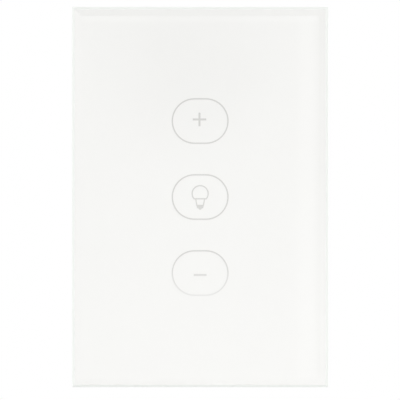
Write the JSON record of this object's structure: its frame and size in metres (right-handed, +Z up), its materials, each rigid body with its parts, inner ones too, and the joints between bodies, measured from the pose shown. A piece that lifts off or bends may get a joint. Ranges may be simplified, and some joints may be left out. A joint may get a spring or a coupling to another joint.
{
  "type": "smart dimmer switch",
  "caption": "Wall-mounted touch dimmer: white glass panel with capsule keys on a clip-on face module, steel yoke, housing with rising-cage wire clamps.",
  "frame": {"origin": "on the wall plane, midway between the two wall-box screws", "axes": "+X to the right seen from the room, +Y into the wall, +Z up along the panel's long side"},
  "size_m": [0.0794, 0.038, 0.118],
  "materials": {
    "panel_glass": "clear tempered glass, polished bevel",
    "white_ink": "fired white back print",
    "grey_ink": "grey translucent print",
    "foam_tape": "black acrylic foam tape",
    "white_plastic": "white moulding, fine satin",
    "green_board": "glass-epoxy board, green resist",
    "black_board": "glass-epoxy board, black resist",
    "lamp_resin": "lamp chip with yellow resin",
    "chip_resin": "black moulded resin",
    "tinned_steel": "tinned sheet",
    "black_nylon": "black moulding",
    "zinc_screw": "bright zinc",
    "zinc_steel": "zinc-plated sheet steel",
    "clear_film": "translucent polyester film",
    "gilt_pin": "gilt square pins",
    "block_plastic": "grey polyamide moulding",
    "bare_aluminium": "extruded, bare",
    "ferrite": "dark sintered ferrite",
    "yellow_tape": "yellow winding tape",
    "copper_wire": "enamelled copper wire",
    "capacitor_sleeve": "shrink sleeve",
    "yellow_box": "moulded box",
    "fuse_plastic": "brown moulding",
    "varistor_coat": "blue epoxy coat",
    "opal_plastic": "opal acrylic",
    "spring_steel": "plated spring wire",
    "brass_bar": "brass strip",
    "plated_cage": "zinc-plated steel strip",
    "clamp_screw": "brass-coloured plated screw",
    "housing_plastic": "light grey flame-retardant moulding"
  },
  "bodies": {
    "base": {"mounting_yoke": "zinc_steel", "base_frame": "white_plastic", "insulating_sheet": "clear_film", "power_board": "green_board", "header_body": "black_nylon", "header_pins": "gilt_pin", "terminal_block": "block_plastic", "heat_sink": "bare_aluminium", "power_transistors": "chip_resin", "transformer_core": "ferrite", "transformer_bobbin": "yellow_tape", "choke_core": "ferrite", "choke_winding": "copper_wire", "bulk_capacitor": "capacitor_sleeve", "suppression_capacitor": "yellow_box", "bridge_rectifier": "chip_resin", "fuse": "fuse_plastic", "varistor": "varistor_coat", "rear_housing": "housing_plastic", "case_screws": "zinc_screw", "contact_bar_live": "brass_bar", "contact_bar_neutral": "brass_bar", "contact_bar_load": "brass_bar"},
    "face": {"glass_panel": "panel_glass", "back_print": "white_ink", "legend_print": "grey_ink", "bonding_tape": "foam_tape", "front_frame": "white_plastic", "touch_board": "green_board", "key_leds": "lamp_resin", "touch_controller": "chip_resin", "radio_module": "black_board", "shield_can": "tinned_steel", "chip_parts": "chip_resin", "header_socket": "black_nylon", "board_screws": "zinc_screw", "light_guide_plus": "opal_plastic", "light_guide_lamp": "opal_plastic", "light_guide_minus": "opal_plastic", "touch_spring_plus": "spring_steel", "touch_spring_lamp": "spring_steel", "touch_spring_minus": "spring_steel"},
    "screw_live": {"terminal_screw_live": "clamp_screw"},
    "cage_live": {"clamp_cage_live": "plated_cage"},
    "screw_neutral": {"terminal_screw_neutral": "clamp_screw"},
    "cage_neutral": {"clamp_cage_neutral": "plated_cage"},
    "screw_load": {"terminal_screw_load": "clamp_screw"},
    "cage_load": {"clamp_cage_load": "plated_cage"}
  },
  "joints": [
    {"name": "face_pull", "type": "slide", "parent": "base", "child": "face", "axis": [0, -1, 0], "range_m": [0, 0.03]},
    {"name": "live_screw_turn", "type": "hinge", "parent": "base", "child": "screw_live", "pos_m": [-0.01, 0.0217, -0.02811], "axis": [0, -1, 0], "range_deg": [0, 2525]},
    {"name": "live_cage_rise", "type": "slide", "parent": "base", "child": "cage_live", "axis": [0, 1, 0], "range_m": [0, 0.0042]},
    {"name": "neutral_screw_turn", "type": "hinge", "parent": "base", "child": "screw_neutral", "pos_m": [0, 0.0217, -0.02811], "axis": [0, -1, 0], "range_deg": [0, 2525]},
    {"name": "neutral_cage_rise", "type": "slide", "parent": "base", "child": "cage_neutral", "axis": [0, 1, 0], "range_m": [0, 0.0042]},
    {"name": "load_screw_turn", "type": "hinge", "parent": "base", "child": "screw_load", "pos_m": [0.01, 0.0217, -0.02811], "axis": [0, -1, 0], "range_deg": [0, 2525]},
    {"name": "load_cage_rise", "type": "slide", "parent": "base", "child": "cage_load", "axis": [0, 1, 0], "range_m": [0, 0.0042]}
  ],
  "couplings": [
    {"joint": "live_screw_turn", "follows": "live_cage_rise", "rad_per_m": 10472},
    {"joint": "neutral_screw_turn", "follows": "neutral_cage_rise", "rad_per_m": 10472},
    {"joint": "load_screw_turn", "follows": "load_cage_rise", "rad_per_m": 10472}
  ]
}
